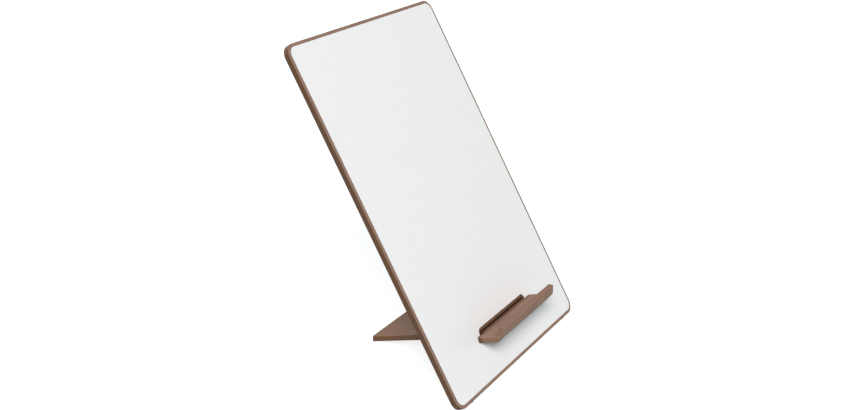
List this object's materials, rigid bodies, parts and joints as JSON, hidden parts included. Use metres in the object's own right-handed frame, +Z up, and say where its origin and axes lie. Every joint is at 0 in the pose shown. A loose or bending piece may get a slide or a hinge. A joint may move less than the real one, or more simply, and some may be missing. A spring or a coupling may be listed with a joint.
{
  "type": "desk whiteboard easel",
  "caption": "Upright steel-faced dry-erase board that leans back on a slotted-through stand plate, whose front end is a pen shelf with an upright rail.",
  "frame": {"origin": "on the desk at the centre of the easel's bounding box", "axes": "+Z up, the writing face looks towards -Y and leans back towards +Y, +X runs to the right as seen from the front"},
  "size_m": [0.4, 0.3078, 0.507],
  "materials": {
    "brown_board": "through-stained fibreboard, matt sealed, fine fibre grain",
    "white_enamel": "satin white dry-erase enamel on steel sheet",
    "adhesive": "pale bonding film",
    "pin_steel": "bright drawn steel",
    "foot_rubber": "soft matt black rubber"
  },
  "bodies": {
    "board": {"panel_core": "brown_board", "adhesive_film": "adhesive", "writing_sheet": "white_enamel", "board_foot_left": "foot_rubber", "board_foot_right": "foot_rubber"},
    "stand": {"stand_plate": "brown_board", "pen_rail": "brown_board", "rail_pin_left": "pin_steel", "rail_pin_middle": "pin_steel", "rail_pin_right": "pin_steel", "leg_foot_left": "foot_rubber", "leg_foot_right": "foot_rubber"}
  },
  "joints": [
    {"name": "stand_slide", "type": "slide", "parent": "board", "child": "stand", "axis": [0, -0.96, 0.2798], "range_m": [0, 0.185]}
  ]
}
